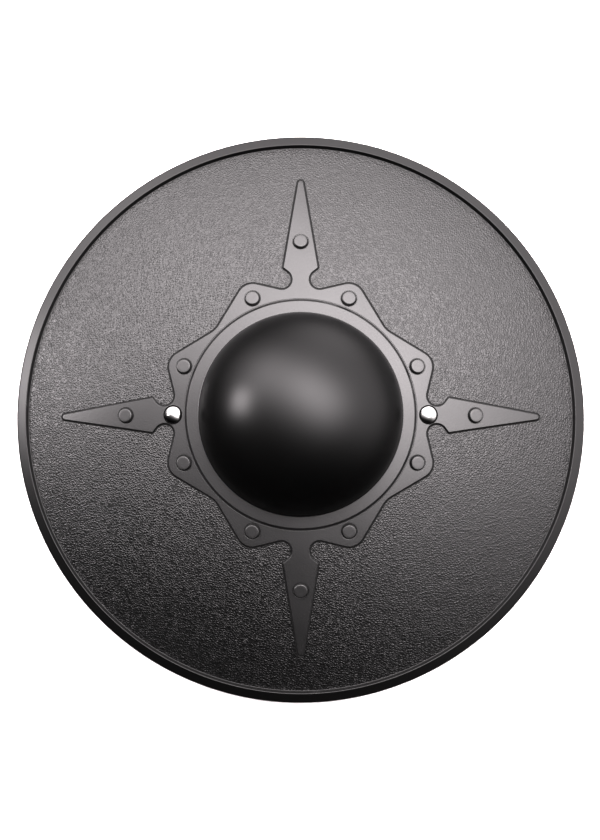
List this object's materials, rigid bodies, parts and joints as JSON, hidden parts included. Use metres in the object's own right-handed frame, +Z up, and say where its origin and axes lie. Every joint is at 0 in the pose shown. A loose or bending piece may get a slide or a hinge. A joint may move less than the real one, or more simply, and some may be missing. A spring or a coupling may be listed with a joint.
{
  "type": "moulded plastic round training shield",
  "caption": "Round buckler-size training shield: domed, grained field in a raised rim, compass-like raised plate with spear points, hollow hand boss and a bolted grip behind.",
  "frame": {"origin": "on the floor under the middle of the boss, with the shield lying face up on its rim", "axes": "+Z up through the boss, out of the shield's face; +X along the grip, through the two bolts; +Y along the upper spear"},
  "size_m": [0.33, 0.33, 0.0916],
  "materials": {
    "body_plastic": "satin",
    "grip_plastic": "matte",
    "polished_steel": "polished"
  },
  "bodies": {
    "root": {"shield_body": "body_plastic", "grip": "grip_plastic", "bolt_left": "polished_steel", "bolt_right": "polished_steel", "nut_left": "polished_steel", "nut_right": "polished_steel"}
  },
  "joints": []
}
